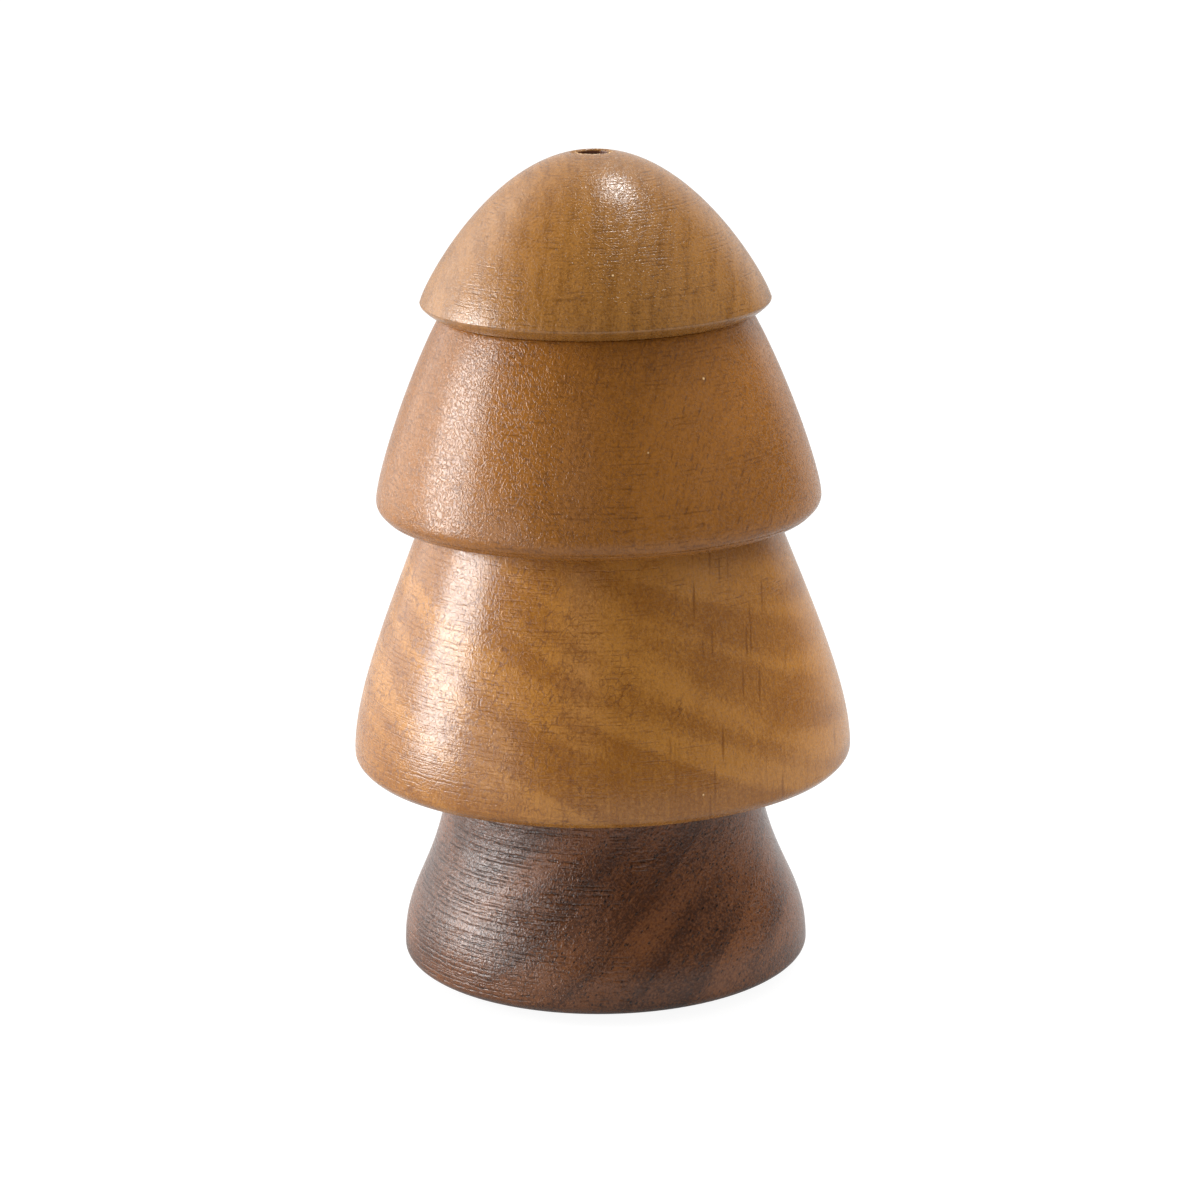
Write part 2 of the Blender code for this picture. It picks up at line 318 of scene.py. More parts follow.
# How each blank was cut from its log. "along" is the way its fibres run and "across" points towards the
# pith, both in the object's axes, and "shift" places the pith. Sizes are millimetres. "tool_side" and
# "crack_side" say on which side of the piece its tool lines and cracks gather, most often on none and on the
# left.
Grain = namedtuple(
    "Grain",
    "along across shift wander late streak streak_size speckle bands band_normal band_size pores pore_size"
    " pore_share cracks crack_size relief worm_size worm tool tool_pitch nibs tool_side crack_side slits",
    defaults=((0.0, 0.0, 0.0), (-0.02, 0.0, 0.0), 0.0)
)
GRAINS = {
    "golden_beech": Grain(
        along=(0.06, 0.1, 1.0), across=(1.0, 0.1, 0.0), shift=(70, 12, 4), wander=0.8, late=0.25,
        streak=0.85, streak_size=(0.62, 3.0, 26.0), speckle=0.7,
        bands=0.15, band_normal=(1.0, 0.0, 0.15), band_size=(7.0, 20.0, 20.0),
        pores=0.5, pore_size=(0.12, 0.1, 0.6), pore_share=0.35, cracks=0.3, crack_size=(1.6, 0.42, 1.6),
        relief=0.028, worm_size=(0.42, 0.42, 0.42), worm=0.013,
        tool=0.02, tool_pitch=0.5, tool_side=(0.004, 0.0, 0.0003), nibs=0.5
    ),
    "brown_beech": Grain(
        along=(0.3, 0.5, 0.81), across=(0.9, -0.4, 0.0), shift=(80, 20, 0), wander=1.5, late=0.1,
        streak=0.45, streak_size=(0.36, 0.6, 6.0), speckle=0.55,
        bands=0.3, band_normal=(0.8, 0.0, -0.5), band_size=(14.0, 24.0, 24.0),
        pores=0.5, pore_size=(0.12, 0.12, 0.7), pore_share=0.35, cracks=0.45, crack_size=(2.4, 0.8, 2.4),
        relief=0.028, worm_size=(0.44, 0.44, 0.5), worm=0.02,
        tool=0.002, tool_pitch=0.6, nibs=0.45
    ),
    "amber_beech": Grain(
        along=(0.04, 0.02, 1.0), across=(-0.77, 0.64, 0.0), shift=(90, 8, 0), wander=2.0, late=0.15,
        streak=0.5, streak_size=(0.5, 0.42, 9.0), speckle=0.55,
        bands=0.7, band_normal=(0.42, 0.25, 0.87), band_size=(3.1, 30.0, 34.0),
        pores=0.4, pore_size=(0.16, 0.1, 0.9), pore_share=0.3, cracks=0.8, crack_size=(1.7, 0.9, 3.6),
        relief=0.024, worm_size=(0.5, 0.5, 0.42), worm=0.008,
        tool=0.022, tool_pitch=0.5, tool_side=(-0.006, 0.0, 0.0), nibs=0.12, slits=0.3
    ),
    "walnut": Grain(
        along=(0.5, 0.3, 0.6), across=(0.6, 0.2, -0.6), shift=(60, 20, 0), wander=2.5, late=0.3,
        streak=0.5, streak_size=(0.5, 0.7, 5.0), speckle=0.8,
        bands=0.6, band_normal=(-0.62, 0.3, 0.75), band_size=(4.2, 22.0, 16.0),
        pores=0.8, pore_size=(0.15, 0.15, 0.35), pore_share=0.55, cracks=0.2, crack_size=(1.0, 1.0, 4.0),
        relief=0.045, worm_size=(0.46, 0.46, 0.5), worm=0.016,
        tool=0.085, tool_pitch=0.6, tool_side=(-0.012, 0.003, 0.0), nibs=0.15
    ),
    "bare_beech": Grain(
        along=(0.0, 0.05, 1.0), across=(1.0, 0.0, 0.0), shift=(70, 0, 0), wander=1.0, late=0.3,
        streak=0.5, streak_size=(0.5, 0.9, 14.0), speckle=0.3,
        bands=0.2, band_normal=(1.0, 0.0, 0.2), band_size=(7.0, 20.0, 20.0),
        pores=0.4, pore_size=(0.14, 0.14, 0.9), pore_share=0.3, cracks=0.0, crack_size=(1.0, 1.0, 5.0),
        relief=0.03, worm_size=(0.6, 0.6, 0.6), worm=0.01,
        tool=0.01, tool_pitch=0.4, nibs=0.0, crack_side=(0.0, 0.0, 0.0)
    ),
}

# The log's slow bends, the width given to one radian round it, and the patches where the turning tool shook,
# let go and skipped, in millimetres
LOG_BEND = (9.0, 9.0, 34.0)
LOG_TURN = 70.0
TOOL_SHAKE = (1.6, 1.6, 1.0)
TOOL_PATCH = (5.0, 5.0, 4.0)
TOOL_SKIP = (1.1, 1.1, 0.4)

# Marks that every timber shares, in millimetres
FIBRE_SIZE = (0.13, 0.13, 0.9)
GRIT_SIZE = (0.26, 0.26, 0.32)
PATCH_SIZE = (5.0, 5.0, 7.0)
SLIT_CELL = (0.5, 6.5, 1.0)
NIB_CELL = (5.5, 5.5, 5.5)
PORE_SPACING = 3
PORE_DEPTH = 0.004
CRACK_DEPTH = 0.006
SLIT_DEPTH = 0.01
NIB_HEIGHT = 0.03

# How wide the marks are, as a share of the pattern that they are cut from
CRACK_WIDTH = 0.03
WORM_WIDTH = 0.075
PORE_REACH = 0.33
SLIT_REACH = 0.4
NIB_REACH = 0.035

# Between which values each pattern goes from nothing to full. The slits' two are places in millimetres, so
# they keep to the lower tier's front right.
LATE_RISE = (0.3, 0.9)
YEAR_END = (1.0, 0.92)
BAND_SPAN = (0.36, 0.64)
DEPTH_SPAN = (-0.45, 1.25)
PATCH_SPAN = (0.42, 0.56)
SOAKED_SPAN = (0.4, 0.7)
RAGGED_SPAN = (1.66, 1.86)
TORN_SPAN = (0.3, 0.6)
SLITS_RIGHT = (5.0, 11.0)
SLITS_FRONT = (-7.0, -13.0)

BAND_ALONG = (0.0, 1.0, 0.1)
TOOL_SLANT = -0.6
UNPOLISHED = 0.85
VECTOR = "NodeSocketVector"
NUMBER = "NodeSocketFloat"


def blank_turn(along, across):
    """The rotation that brings the fibres onto Z and the way to the pith onto X."""
    height = Vector(along).normalized()
    round_log = height.cross(Vector(across)).normalized()
    outward = round_log.cross(height)
    return Matrix((outward, round_log, height)).to_euler()


class Wiring:
    """Adds nodes to one tree. A number or colour given where a socket could be becomes the input's value."""

    def __init__(self, tree):
        self.tree = tree

    def feed(self, socket, value):
        if isinstance(value, bpy.types.NodeSocket):
            self.tree.links.new(value, socket)
        else:
            socket.default_value = value

    def node(self, kind, inputs, **settings):
        """The outputs of a new node."""
        made = self.tree.nodes.new("ShaderNode" + kind)
        for name, value in settings.items():
            setattr(made, name, value)
        for name, value in inputs.items():
            self.feed(made.inputs[name], value)
        return made.outputs

    def math(self, operation, *values):
        return self.node("Math", dict(enumerate(values)), operation=operation)[0]

    def vector(self, operation, *values):
        return self.node("VectorMath", dict(enumerate(values)), operation=operation)[0]

    def times(self, first, second):
        return self.math('MULTIPLY', first, second)

    def stacked(self, start, *parts):
        """A number with parts added to it, each with its weight."""
        for value, weight in parts:
            start = self.math('MULTIPLY_ADD', value, weight, start)
        return start

    def centred(self, value):
        """A pattern that lay between nought and one, moved to lie evenly round nought."""
        return self.math('SUBTRACT', value, 0.5)

    def toward(self, vector, side):
        """How far a place lies to one side."""
        return self.node("VectorMath", {0: vector, 1: side}, operation='DOT_PRODUCT')["Value"]

    def radius(self, x, y):
        return self.math('SQRT', self.math('ADD', self.times(x, x), self.times(y, y)))

    def split(self, vector):
        return self.node("SeparateXYZ", {0: vector})

    def join(self, x, y, z):
        return self.node("CombineXYZ", {0: x, 1: y, 2: z})[0]

    def smooth(self, value, low, high):
        """Rises smoothly from nought at low to one at high, or falls where high is the lower."""
        reach = {"Value": value, "From Min": low, "From Max": high}
        return self.node("MapRange", reach, interpolation_type='SMOOTHSTEP')[0]

    def noise(self, vector, size, detail=2.0, roughness=0.5):
        """Clouds of a given size."""
        spread = self.vector('DIVIDE', vector, size)
        inputs = {"Vector": spread, "Scale": 1.0, "Detail": detail, "Roughness": roughness}
        return self.node("TexNoise", inputs)[0]

    def noise_along(self, value):
        inputs = {"W": value, "Scale": 1.0, "Detail": 2.0, "Roughness": 0.5}
        return self.node("TexNoise", inputs, noise_dimensions='1D')[0]

    def voronoi(self, vector, size, feature='F1'):
        """Cells of a given size round scattered points."""
        spread = self.vector('DIVIDE', vector, size)
        return self.node("TexVoronoi", {"Vector": spread, "Scale": 1.0}, feature=feature)

    def mix(self, factor, first, second):
        """One colour laid over another."""
        return self.node("Mix", {0: factor, 6: first, 7: second}, data_type='RGBA')[2]

    def painted(self, body, paint, *marks):
        """A colour with marks painted on it, each with its mask and how well it covers."""
        for mask, cover in marks:
            body = self.mix(self.times(mask, cover), body, opaque(paint))
        return body

    def blend(self, factor, first, second):
        """One number faded into another."""
        return self.node("Mix", {0: factor, 2: first, 3: second}, data_type='FLOAT')[0]

    def effect(self, maker, **inputs):
        """The outputs of a shared node group, which its maker builds once, fed with its inputs by name."""
        tree = bpy.data.node_groups.get(maker.__name__) or maker()
        named = {name.capitalize(): value for name, value in inputs.items()}
        return self.node("Group", named, node_tree=tree)

    def place(self):
        """The place on the object in millimetres."""
        return self.vector('MULTIPLY', self.node("TexCoord", {})["Object"], (1 / MILLIMETRE,) * 3)

    def turned(self, vector, along, across, shift):
        """The same place in axes whose Z runs along the fibres and whose X points across them."""
        inputs = {"Vector": vector, "Location": shift, "Rotation": blank_turn(along, across)}
        return self.node("Mapping", inputs)[0]

    def attribute(self, name):
        return self.node("Attribute", {}, attribute_name=name)["Fac"]


def new_group(name, inputs, outputs):
    """An empty node group with its sockets, ready to be wired."""
    tree = bpy.data.node_groups.new(name, "ShaderNodeTree")
    for label, kind in inputs.items():
        tree.interface.new_socket(name=label, in_out='INPUT', socket_type=kind)
    for label, kind in outputs.items():
        tree.interface.new_socket(name=label, in_out='OUTPUT', socket_type=kind)
    entry = tree.nodes.new("NodeGroupInput")
    leave = tree.nodes.new("NodeGroupOutput")
    return Wiring(tree), entry.outputs, leave.inputs


def log_space():
    """Turns a place in the blank into its distance from the pith, its way round the log and its height."""
    wire, entry, leave = new_group("log_space", {"Vector": VECTOR, "Wander": NUMBER}, {"Vector": VECTOR})
    bend = wire.noise(entry["Vector"], LOG_BEND, 1.0)
    x, y, z = wire.split(entry["Vector"])
    distance = wire.stacked(wire.radius(x, y), (wire.centred(bend), entry["Wander"]))
    around = wire.times(wire.math('ARCTAN2', y, x), LOG_TURN)
    wire.feed(leave["Vector"], wire.join(distance, around, z))
    return wire.tree


def growth_rings():
    """Late wood that darkens towards each year's end."""
    wire, entry, leave = new_group("growth_rings", {"Vector": VECTOR, "Spacing": NUMBER}, {"Late": NUMBER})
    years = wire.math('DIVIDE', wire.split(entry["Vector"])[0], entry["Spacing"])
    uneven = wire.noise_along(wire.times(years, 0.43))
    season = wire.math('FRACT', wire.math('ADD', years, uneven))
    rise = wire.smooth(season, *LATE_RISE)
    wire.feed(leave["Late"], wire.times(rise, wire.smooth(season, *YEAR_END)))
    return wire.tree


def flecks():
    """Scattered lens-shaped marks of a given size, of which only a share is kept."""
    sockets = {"Vector": VECTOR, "Size": VECTOR, "Share": NUMBER, "Reach": NUMBER}
    wire, entry, leave = new_group("flecks", sockets, {"Mask": NUMBER})
    spots = wire.voronoi(entry["Vector"], entry["Size"])
    kept = wire.math('LESS_THAN', wire.split(spots["Color"])[0], entry["Share"])
    core = wire.times(entry["Reach"], 0.45)
    near = wire.smooth(spots["Distance"], entry["Reach"], core)
    wire.feed(leave["Mask"], wire.times(kept, near))
    return wire.tree


def streaks():
    """Cloudy variation drawn out by a given size."""
    sockets = {"Vector": VECTOR, "Size": VECTOR, "Detail": NUMBER}
    wire, entry, leave = new_group("streaks", sockets, {"Streak": NUMBER})
    wire.feed(leave["Streak"], wire.noise(entry["Vector"], entry["Size"], entry["Detail"], 0.55))
    return wire.tree


def worms():
    """Thin winding grooves between small pebbles of raised grain."""
    sockets = {"Vector": VECTOR, "Size": VECTOR, "Width": NUMBER}
    wire, entry, leave = new_group("worms", sockets, {"Groove": NUMBER, "Pebble": NUMBER})
    field = wire.noise(entry["Vector"], entry["Size"], 1.0)
    off = wire.math('ABSOLUTE', wire.centred(field))
    wire.feed(leave["Groove"], wire.smooth(off, entry["Width"], 0.0))
    wire.feed(leave["Pebble"], field)
    return wire.tree


def tool_lines():
    """Fine circles that the turning tool left, broken here and there. The dark paint that the timber puts on
    these lines is painted shade in the grooves.
    """
    sockets = {"Vector": VECTOR, "Pitch": NUMBER, "Slant": NUMBER, "Side": VECTOR}
    wire, entry, leave = new_group("tool_lines", sockets, {"Groove": NUMBER, "Line": NUMBER})
    at = entry["Vector"]
    x, y, z = wire.split(at)
    shake = wire.noise(at, TOOL_SHAKE, 1.0)
    path = wire.stacked(z, (shake, 0.35), (wire.radius(x, y), entry["Slant"]))
    turns = wire.math('DIVIDE', path, entry["Pitch"])
    uneven = wire.times(wire.noise_along(wire.times(turns, 0.45)), 9.0)
    ridge = wire.math('SINE', wire.stacked(uneven, (turns, FULL_TURN)))
    weight = wire.smooth(wire.noise_along(wire.math('ADD', turns, 40.0)), 0.3, 0.62)
    spread = wire.noise(at, TOOL_PATCH, 2.0, 0.6)
    broken = wire.smooth(wire.math('ADD', spread, wire.toward(at, entry["Side"])), 0.42, 0.6)
    short = wire.smooth(wire.noise(at, TOOL_SKIP, 1.0), 0.4, 0.6)
    groove = wire.times(wire.smooth(ridge, -0.5, 0.9), wire.times(broken, weight))
    wire.feed(leave["Groove"], wire.times(groove, wire.stacked(0.4, (short, 0.6))))
    # The line output is painted dark in the timber, as shade in the tool grooves.
    wire.feed(leave["Line"], wire.times(groove, short))
    return wire.tree


def opaque(values):
    """A colour with full alpha."""
    return (*values, 1.0)


def grey(value):
    """A neutral colour with full alpha."""
    return (value, value, value, 1.0)


def new_material(name):
    """An empty node material, with its wiring and its surface shader."""
    material = bpy.data.materials.new(name)
    material.use_nodes = True
    wire = Wiring(material.node_tree)
    return material, wire, material.node_tree.nodes["Principled BSDF"]


def coat(wire, surface, colour, roughness, height, distance=MILLIMETRE):
    """Gives a surface its colour, its roughness and a relief whose height of one stands for the distance."""
    relief = wire.node("Bump", {"Height": height, "Distance": distance, "Strength": 1.0})[0]
    for name, value in (("Base Color", colour), ("Roughness", roughness), ("Normal", relief)):
        wire.feed(surface.inputs[name], value)


def timber(name, tree, bare_colour):
    """Solid timber under oil, with bare, torn or drilled wood wherever the piece's mesh says so. The drilled
    outlet bore is painted dark as the shade inside the hole.
    """
    grain, look, soft = GRAINS[name], getattr(tree, name), tree.soft
    material, wire, surface = new_material(name)
    at = wire.place()
    x, y, z = wire.split(at)
    blank = wire.turned(at, grain.along, grain.across, grain.shift)
    log = wire.effect(log_space, vector=blank, wander=grain.wander)[0]
    late = wire.effect(growth_rings, vector=log, spacing=look.ring_spacing / MILLIMETRE)[0]
    banded = wire.turned(at, BAND_ALONG, grain.band_normal, (0, 0, 0))
    band = wire.effect(streaks, vector=banded, size=grain.band_size, detail=0.5)[0]
    broad = wire.effect(streaks, vector=log, size=grain.streak_size, detail=2.0)[0]
    fine = wire.effect(streaks, vector=log, size=FIBRE_SIZE, detail=1.0)[0]
    grit = wire.effect(streaks, vector=log, size=GRIT_SIZE, detail=1.0)[0]
    groove, pebble = wire.effect(worms, vector=log, size=grain.worm_size, width=WORM_WIDTH)
    cut, line = wire.effect(
        tool_lines, vector=at, pitch=grain.tool_pitch, slant=TOOL_SLANT, side=grain.tool_side
    )
    pore_cell = [PORE_SPACING * width for width in grain.pore_size]
    pores = wire.effect(flecks, vector=log, size=pore_cell, share=grain.pore_share, reach=PORE_REACH)[0]
    nibs = wire.effect(flecks, vector=at, size=NIB_CELL, share=grain.nibs, reach=NIB_REACH)[0]
    upright = wire.join(x, z, 0.0)
    slits = wire.effect(flecks, vector=upright, size=SLIT_CELL, share=grain.slits, reach=SLIT_REACH)[0]
    front_right = wire.times(wire.smooth(x, *SLITS_RIGHT), wire.smooth(y, *SLITS_FRONT))
    slits = wire.times(slits, front_right)
    cracks = wire.effect(worms, vector=banded, size=grain.crack_size, width=CRACK_WIDTH)[0]
    patches = wire.noise(at, PATCH_SIZE, 1.0)
    patches = wire.smooth(wire.math('ADD', patches, wire.toward(at, grain.crack_side)), *PATCH_SPAN)
    cracks = wire.times(cracks, patches)
    bare, torn, drilled = [wire.attribute(label) for label in (BARE, TORN, DRILLED)]

    depth = wire.stacked(
        0.0, (wire.smooth(band, *BAND_SPAN), grain.bands), (late, grain.late),
        (wire.centred(broad), grain.streak * 2), (wire.centred(fine), 0.9),
        (wire.centred(grit), grain.speckle * 3)
    )
    body = wire.mix(wire.smooth(depth, *DEPTH_SPAN), opaque(look.pale), opaque(look.dark))
    # Painted shade: the tool lines' dark colour stands for the shade in their grooves; the other marks are
    # the wood's own.
    body = wire.painted(
        body, look.pore, (groove, 0.12), (pores, grain.pores), (cracks, grain.cracks), (slits, 0.6),
        (line, 0.55)
    )
    soaked = wire.times(wire.smooth(fine, *SOAKED_SPAN), 0.3)
    body = wire.mix(bare, body, wire.mix(soaked, opaque(bare_colour), body))
    # Painted shade: the outlet's drilled bore is painted dark for the shade inside the hole.
    body = wire.mix(drilled, body, opaque(soft.drilled_wood))
    ragged = wire.smooth(wire.stacked(torn, (y, -0.12), (grit, 1.4)), *RAGGED_SPAN)
    ragged = wire.times(ragged, wire.smooth(torn, *TORN_SPAN))
    body = wire.mix(wire.math('MAXIMUM', nibs, ragged), body, opaque(soft.torn_fibre))
    rough = wire.stacked(
        UNPOLISHED - look.gloss, (wire.centred(fine), 0.25), (groove, 0.12),
        (wire.math('MAXIMUM', pores, cracks), 0.1), (bare, 0.45), (drilled, 0.3)
    )
    height = wire.stacked(
        0.0, (pebble, grain.relief), (grit, grain.relief * 0.8), (fine, grain.relief * 0.35),
        (groove, -grain.worm), (pores, -PORE_DEPTH), (cracks, -CRACK_DEPTH), (slits, -SLIT_DEPTH),
        (cut, -grain.tool), (nibs, NIB_HEIGHT)
    )
    coat(wire, surface, body, rough, height)
    surface.inputs["Specular IOR Level"].default_value = look.lustre
    return material


# Height of the silicone's matt grain, in metres
SILICONE_GRIT = 0.000006


def silicone(look):
    """Soft translucent silicone with a faint bloom."""
    material, wire, surface = new_material("silicone")
    at = wire.place()
    bloom = wire.noise(at, (1.3, 1.3, 0.5), 3.0)
    clear = wire.vector('MULTIPLY', tuple(look.silicone), (0.86, 0.86, 0.84))
    grit = wire.noise(at, (0.12, 0.12, 0.12))
    body = wire.mix(bloom, clear, opaque(look.silicone))
    coat(wire, surface, body, wire.stacked(0.3, (bloom, 0.3)), grit, SILICONE_GRIT)
    surface.inputs["Subsurface Weight"].default_value = 0.3
    surface.inputs["Subsurface Radius"].default_value = (MILLIMETRE,) * 3
    surface.inputs["Subsurface Scale"].default_value = 1.0
    return material


# The cork's granules and pits, in millimetres
GRANULE_SIZE = (0.9, 0.9, 0.9)
PIT_SIZE = (0.8, 0.8, 0.8)


def cork(look):
    """Pressed cork: granules of mixed tone with dark joints and small pits."""
    material, wire, surface = new_material("cork")
    at = wire.place()
    wavy = wire.vector('ADD', at, wire.noise(at, (1.0, 1.0, 1.0)))
    tone = wire.split(wire.voronoi(wavy, GRANULE_SIZE)["Color"])[0]
    joint = wire.smooth(wire.voronoi(wavy, GRANULE_SIZE, 'DISTANCE_TO_EDGE')["Distance"], 0.09, 0.0)
    pits = wire.effect(flecks, vector=at, size=PIT_SIZE, share=0.25, reach=0.3)[0]
    dusk = wire.vector('MULTIPLY', tuple(look.cork), (0.55, 0.5, 0.45))
    body = wire.mix(tone, opaque(look.cork), dusk)
    body = wire.painted(body, look.cork_gap, (joint, 0.7), (pits, 0.6))
    height = wire.stacked(0.0, (joint, -0.04), (pits, -0.06), (tone, 0.02))
    coat(wire, surface, body, wire.stacked(0.78, (tone, 0.15)), height)
    return material


def sweep(start, end, slope, lead_share, tail_share):
    """One smooth curve that leaves start at the slope below level and comes down upright on end."""
    reach = math.dist(start, end)
    pull = lead_share * reach
    lead = (start[0] + pull * math.cos(slope), start[1] - pull * math.sin(slope))
    tail = (end[0], end[1] + tail_share * reach)
    handles = [Vector(point) for point in (start, lead, tail, end)]
    return [tuple(point) for point in interpolate_bezier(*handles, SWEEP_STEPS + 1)]


def hump(turn, centre, spread):
    """A smooth hump of height one round the centre."""
    return max(0.0, 1 - ((turn - centre) / spread) ** 2) ** 2


def rolled_rim(sizes):
    """The rim from below its widest line in to the flat underside, with its tool groove and bead."""
    points = []
    for step in range(1, ROLL_STEPS + 1):
        turn = math.pi / 2 * step / ROLL_STEPS
        normal = Vector((math.cos(turn) / sizes.rim_roll, -math.sin(turn) / sizes.rim_rise)).normalized()
        lift = sizes.rim_bead * hump(turn, BEAD_TURN, BEAD_SPREAD)
        lift -= sizes.rim_groove * hump(turn, GROOVE_TURN, GROOVE_SPREAD)
        radius = sizes.rim_radius - sizes.rim_roll * (1 - math.cos(turn)) + lift * normal.x
        points.append((radius, sizes.foot + sizes.rim_rise * (1 - math.sin(turn)) + lift * normal.y))
    return points


def undercut_rim(sizes, ease):
    """The rim from its eased widest line straight back under the dome, flattening towards the foot."""
    widest = Vector((sizes.rim_radius, sizes.foot + sizes.rim_rise))
    back = Vector((-sizes.rim_roll, -2 * sizes.rim_rise)).normalized() * ease
    above = widest + Vector((0.0, ease))
    points = []
    for step in range(EASE_STEPS + 1):
        part = step / EASE_STEPS
        points.append(tuple(widest + (1 - part) ** 2 * (above - widest) + part ** 2 * back))
    for step in range(2, UNDERCUT_STEPS + 1):
        part = step / UNDERCUT_STEPS
        level = sizes.foot + sizes.rim_rise * (1 - part) ** 2
        points.append((sizes.rim_radius - sizes.rim_roll * part, level))
    return points


def side(sizes, ease):
    """The swept outside from its shoulder down to the widest line."""
    start = (sizes.neck_radius, sizes.top - ease)
    end = (sizes.rim_radius, sizes.foot + sizes.rim_rise)
    shoulder = [(sizes.neck_radius - ease, sizes.top)] if ease else []
    return shoulder + sweep(start, end, sizes.slope, sizes.lead_share, sizes.tail_share)


def tenon(radius, shoulder, end):
    """A tenon's profile from its shoulder down to its end and in to the chamber."""
    return [(radius, shoulder), (radius, end + TENON_LEAD), (radius - TENON_LEAD, end), (CHAMBER_RADIUS, end)]


def socket(radius, floor, top):
    """A socket's profile from the chamber out over its floor and up to its mouth."""
    return [(CHAMBER_RADIUS, floor), (radius, floor), (radius, top)]


def add_object(name, data):
    """An object in the scene, made from its data."""
    made = bpy.data.objects.new(name, data)
    bpy.context.scene.collection.objects.link(made)
    return made


def add_shape(name, shape, material):
    """An object in the scene, made from a finished shape and one material."""
    mesh = bpy.data.meshes.new(name)
    shape.to_mesh(mesh)
    shape.free()
    mesh.materials.append(material)
    return add_object(name, mesh)


def spin_round(shape):
    """Spins a profile once round Z and closes the seam and the poles."""
    bmesh.ops.spin(
        shape, geom=[*shape.verts, *shape.edges], cent=(0, 0, 0), axis=(0, 0, 1), dvec=(0, 0, 0),
        angle=FULL_TURN, steps=SPIN_STEPS, use_merge=True, use_duplicate=False
    )
    bmesh.ops.remove_doubles(shape, verts=shape.verts, dist=MERGE_DISTANCE)
    bmesh.ops.recalc_face_normals(shape, faces=shape.faces)


def turned_piece(name, stretches, closed, material, body, node, roughen=None):
    """Turns one piece. Each stretch of its profile names the surface that its points lie on."""
    shape = bmesh.new()
    layers = [shape.verts.layers.float.new(label) for label in (BARE, TORN, DRILLED)]
    corners = []
    for surface, points in stretches:
        for radius, height in points:
            corner = shape.verts.new((radius, 0, height))
            for layer, amount in zip(layers, SURFACES[surface]):
                corner[layer] = amount
            corners.append(corner)
    pairs = list(zip(corners, corners[1:]))
    if closed:
        pairs.append((corners[-1], corners[0]))
    for pair in pairs:
        shape.edges.new(pair)
    spin_round(shape)
    if roughen:
        roughen(shape)
    hand_over(name, shape, material, body, node)


def hand_over(name, shape, material, body, node):
    """Eases the arrises, none above the piece's summit, and lets the object stand for its node."""
    summit = max(vert.co.z for vert in shape.verts)
    sharp = [edge for edge in shape.edges if edge.is_manifold and edge.calc_face_angle() > SHARP_ANGLE]
    bmesh.ops.bevel(
        shape, geom=sharp, offset=ARRIS, offset_type='OFFSET', segments=ARRIS_SEGMENTS, profile=0.5,
        affect='EDGES', clamp_overlap=True, material=-1
    )
    for vert in shape.verts:
        vert.co.z = min(vert.co.z, summit)
    piece = add_shape(name, shape, material)
    piece.data.shade_smooth()
    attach(piece, body)
    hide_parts(node)


class TREE_OT_top_tier(bpy.types.Operator):
    """Turns the dome with its outlet, funnel and tenon"""
    bl_idname = "toothpick_tree.top_tier"
    bl_label = "Top Tier"

    def execute(self, context):
        tree = context.scene.toothpick_tree
        sizes, fits = tree.top_tier, tree.fits
        slope = side(sizes, 0.0)
        lip = (fits.outlet_radius, sizes.top - fits.outlet_lip)
        bare = tenon(fits.top_tenon_radius, sizes.foot, TOP_LOW.z) + [
            (CHAMBER_RADIUS, MIDDLE_HIGH.z + SEAM_GAP),
            (fits.outlet_radius + TENON_LEAD, sizes.top - fits.outlet_length - TENON_LEAD),
        ]
        bore = [
            (fits.outlet_radius, sizes.top - fits.outlet_length),
            (fits.outlet_radius, sizes.top - 2 * fits.outlet_lip),
        ]
        stretches = [
            (TORN, slope[:1]), (OILED, slope[1:-1] + undercut_rim(sizes, fits.rim_ease)), (BARE, bare),
            (DRILLED, bore), (TORN, [lip])
        ]

        lip_level = sizes.top - 1.5 * fits.outlet_lip
        lip_radius = sizes.neck_radius + fits.outlet_lip

        def fray(shape):
            for vert in shape.verts:
                radius = math.hypot(vert.co.x, vert.co.y)
                if vert.co.z > lip_level and radius < lip_radius:
                    pull = noise.noise(vert.co * FRAY_SCALE)
                    vert.co.x *= 1 + pull * fits.lip_fray / radius
                    vert.co.y *= 1 + pull * fits.lip_fray / radius
                    vert.co.z -= abs(noise.noise(vert.co * FRAY_SCALE + FRAY_SHIFT)) * fits.lip_fray

        material = timber("golden_beech", tree, tree.soft.bare_beech)
        turned_piece("dome", stretches, True, material, "crown", "top_tier", fray)
        return {'FINISHED'}


class TREE_OT_middle_tier(bpy.types.Operator):
    """Turns the middle tier with its socket and tenon"""
    bl_idname = "toothpick_tree.middle_tier"
    bl_label = "Middle Tier"

    def execute(self, context):
        tree = context.scene.toothpick_tree
        sizes, fits = tree.middle_tier, tree.fits
        bare = tenon(fits.middle_tenon_radius, sizes.foot, MIDDLE_LOW.z)
        bare += socket(fits.top_tenon_radius + SEAM_GAP, TOP_LOW.z - 2 * SEAM_GAP, sizes.top)
        stretches = [(OILED, side(sizes, SHOULDER_EASE) + rolled_rim(sizes)), (BARE, bare)]
        material = timber("brown_beech", tree, tree.soft.bare_beech)
        turned_piece("middle_skirt", stretches, True, material, "crown", "middle_tier")
        return {'FINISHED'}


